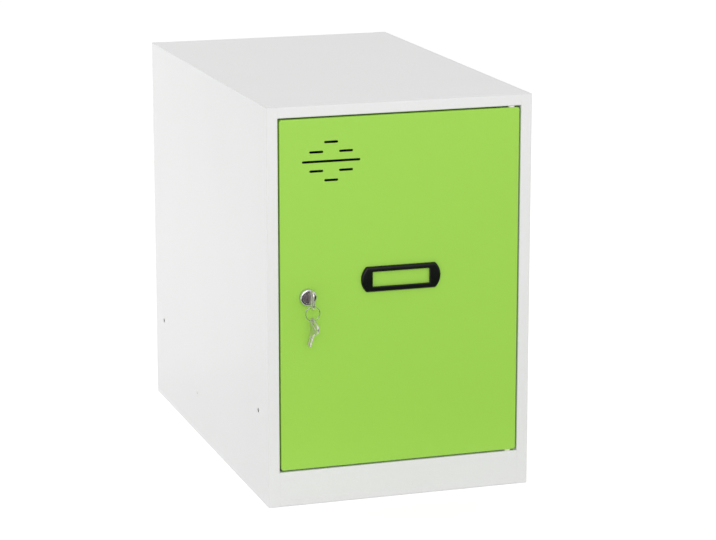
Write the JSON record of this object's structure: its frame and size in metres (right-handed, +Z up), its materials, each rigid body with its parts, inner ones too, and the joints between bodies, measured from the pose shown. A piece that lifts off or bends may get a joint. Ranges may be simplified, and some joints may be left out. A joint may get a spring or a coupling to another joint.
{
  "type": "metal locker",
  "caption": "Small steel storage locker: folded sheet cabinet, pivot-hung vented door with label holder, cam lock with keys on a ring.",
  "frame": {"origin": "centre of the cabinet's footprint, on the plane that it stands on", "axes": "+Z up, +Y from the door into the cabinet, +X to the right as seen from the front"},
  "size_m": [0.3, 0.5325, 0.44],
  "materials": {
    "body_white": "white powder coat, fine orange peel, satin",
    "door_green": "apple green powder coat, fine orange peel, satin",
    "plated_steel": "bright zinc plate",
    "bush_nylon": "natural nylon",
    "holder_black": "black moulded plastic, satin gloss",
    "lock_chrome": "polished chrome plate",
    "plug_nickel": "turned nickel-plated brass, duller than the head",
    "key_nickel": "nickel-plated brass, milled",
    "ring_steel": "drawn steel wire",
    "rubber_grey": "matt soft rubber"
  },
  "bodies": {
    "cabinet": {"left_side_panel": "body_white", "right_side_panel": "body_white", "top_panel": "body_white", "floor_panel": "body_white", "back_panel": "body_white", "stop_buffers": "rubber_grey", "upper_hinge_plate": "plated_steel", "lower_hinge_plate": "plated_steel", "upper_hinge_pin": "plated_steel", "lower_hinge_pin": "plated_steel"},
    "door": {"door_panel": "door_green", "door_stiffener": "door_green", "label_frame": "holder_black", "label_push_nuts": "plated_steel", "lock_housing": "lock_chrome", "lock_nut": "plated_steel", "lock_washer": "plated_steel", "upper_door_plate": "door_green", "lower_door_plate": "door_green", "upper_hinge_bush": "bush_nylon", "lower_hinge_bush": "bush_nylon"},
    "lock_barrel": {"lock_plug": "plug_nickel", "cam_stop_washer": "plated_steel", "lock_cam": "plated_steel", "cam_spring_washer": "plated_steel", "cam_screw": "plated_steel"},
    "inserted_key": {"key": "key_nickel"},
    "ring": {"key_ring": "ring_steel"},
    "hanging_key": {"spare_key": "key_nickel"}
  },
  "joints": [
    {"name": "door_hinge", "type": "hinge", "parent": "cabinet", "child": "door", "pos_m": [0.1272, -0.2457, 0.2334], "axis": [0, 0, 1], "range_deg": [0, 110]},
    {"name": "lock_turn", "type": "hinge", "parent": "door", "child": "lock_barrel", "pos_m": [-0.1055, -0.2549, 0.233], "axis": [0, 1, 0], "range_deg": [0, 90]},
    {"name": "key_slide", "type": "slide", "parent": "lock_barrel", "child": "inserted_key", "axis": [0, -1, 0], "range_m": [0, 0.0185]},
    {"name": "ring_hang", "type": "hinge", "parent": "inserted_key", "child": "ring", "pos_m": [-0.1055, -0.269, 0.224], "axis": [0, 1, 0], "range_deg": [-90, 0]},
    {"name": "spare_key_swing", "type": "hinge", "parent": "ring", "child": "hanging_key", "pos_m": [-0.1055, -0.269, 0.21095], "axis": [1, 0, 0], "range_deg": [-60, 12]}
  ],
  "couplings": [
    {"joint": "ring_hang", "follows": "lock_turn", "ratio": -1}
  ]
}
